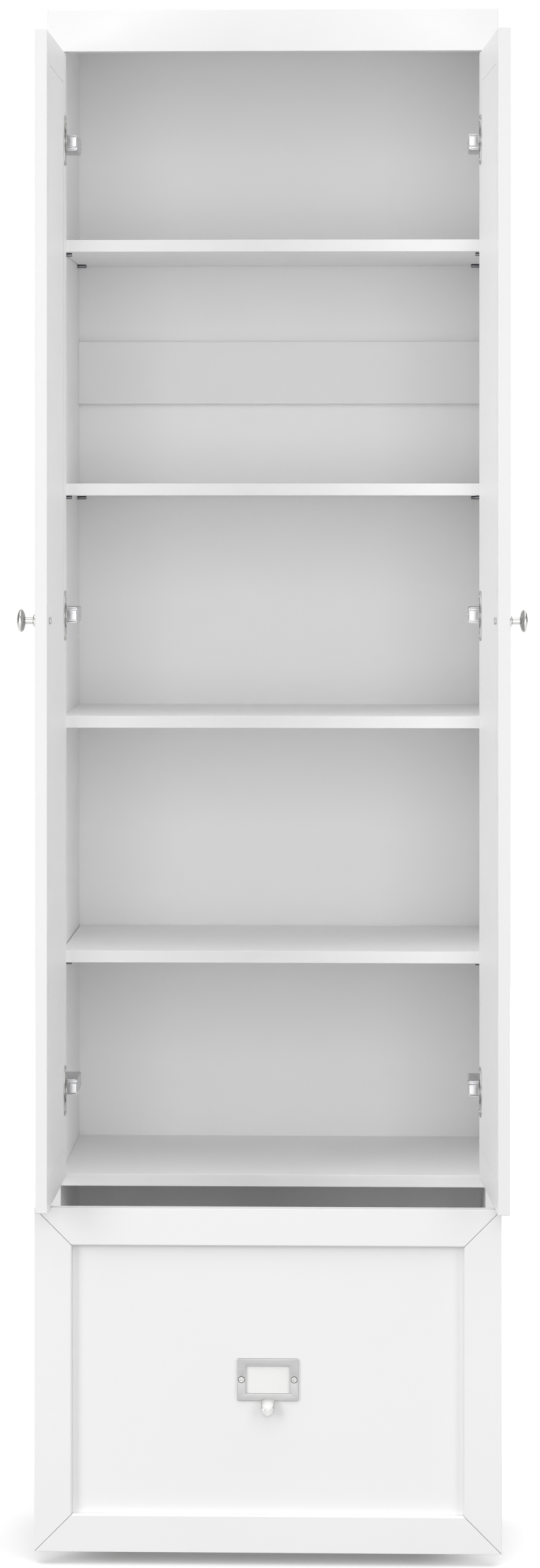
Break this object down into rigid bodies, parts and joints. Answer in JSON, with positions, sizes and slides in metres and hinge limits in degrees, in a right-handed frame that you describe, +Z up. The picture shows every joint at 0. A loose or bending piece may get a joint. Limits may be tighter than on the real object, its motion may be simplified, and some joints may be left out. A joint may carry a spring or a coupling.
{
  "type": "apothecary cabinet",
  "caption": "Tall white apothecary cabinet with two hinged panelled doors, shelves on pins and a deep drawer with a card-holder pull.",
  "frame": {"origin": "on the floor, at the middle of the plinth board's underside, 38 mm behind the case's front edges", "axes": "+X to the right as seen from the front, +Y from the front into the case, +Z up"},
  "size_m": [0.6495, 0.6518, 2.016],
  "materials": {
    "white_paint": "satin white lacquer on board",
    "drawer_foil": "matt white foil on board",
    "satin_nickel": "satin nickel plate",
    "zinc_steel": "nickel-plated pressed steel",
    "dark_steel": "polished steel pin",
    "card": "plain white card, matt"
  },
  "bodies": {
    "case": {"back_panel": "white_paint", "back_rail": "white_paint", "bottom_panel": "white_paint", "deck": "white_paint", "fascia": "white_paint", "hinge_arm_left_bottom": "zinc_steel", "hinge_arm_left_middle": "zinc_steel", "hinge_arm_left_top": "zinc_steel", "hinge_arm_right_bottom": "zinc_steel", "hinge_arm_right_middle": "zinc_steel", "hinge_arm_right_top": "zinc_steel", "shelf_1": "white_paint", "shelf_2": "white_paint", "shelf_3": "white_paint", "shelf_4": "white_paint", "shelf_pin_1_front_left": "dark_steel", "shelf_pin_1_front_right": "dark_steel", "shelf_pin_1_rear_left": "dark_steel", "shelf_pin_1_rear_right": "dark_steel", "shelf_pin_2_front_left": "dark_steel", "shelf_pin_2_front_right": "dark_steel", "shelf_pin_2_rear_left": "dark_steel", "shelf_pin_2_rear_right": "dark_steel", "side_panel_left": "white_paint", "side_panel_right": "white_paint", "slide_case_left": "zinc_steel", "slide_case_right": "zinc_steel", "toe_kick": "white_paint", "top_panel": "white_paint"},
    "door_left": {"door_left_bottom_rail": "white_paint", "door_left_free_stile": "white_paint", "door_left_hinge_stile": "white_paint", "door_left_knob": "satin_nickel", "door_left_panel": "white_paint", "door_left_top_rail": "white_paint", "hinge_cup_left_bottom": "satin_nickel", "hinge_cup_left_middle": "satin_nickel", "hinge_cup_left_top": "satin_nickel"},
    "door_right": {"door_right_bottom_rail": "white_paint", "door_right_free_stile": "white_paint", "door_right_hinge_stile": "white_paint", "door_right_knob": "satin_nickel", "door_right_panel": "white_paint", "door_right_top_rail": "white_paint", "hinge_cup_right_bottom": "satin_nickel", "hinge_cup_right_middle": "satin_nickel", "hinge_cup_right_top": "satin_nickel"},
    "drawer": {"drawer_bottom_rail": "white_paint", "drawer_box_back": "drawer_foil", "drawer_box_bottom": "drawer_foil", "drawer_box_front": "drawer_foil", "drawer_box_left_side": "drawer_foil", "drawer_box_right_side": "drawer_foil", "drawer_label_pull": "satin_nickel", "drawer_left_stile": "white_paint", "drawer_panel": "white_paint", "drawer_right_stile": "white_paint", "drawer_top_rail": "white_paint", "slide_drawer_left": "zinc_steel", "slide_drawer_right": "zinc_steel"}
  },
  "joints": [
    {"name": "door_left_hinge", "type": "hinge", "parent": "case", "child": "door_left", "pos_m": [-0.29, -0.055, 1.2075], "axis": [0, 0, -1], "range_deg": [-90.3, 14.7]},
    {"name": "door_right_hinge", "type": "hinge", "parent": "case", "child": "door_right", "pos_m": [0.29, -0.055, 1.2075], "axis": [0, 0, 1], "range_deg": [-93.3, 11.7]},
    {"name": "drawer_slide", "type": "slide", "parent": "case", "child": "drawer", "axis": [0, -1, 0], "range_m": [-0.229, 0.011]}
  ]
}
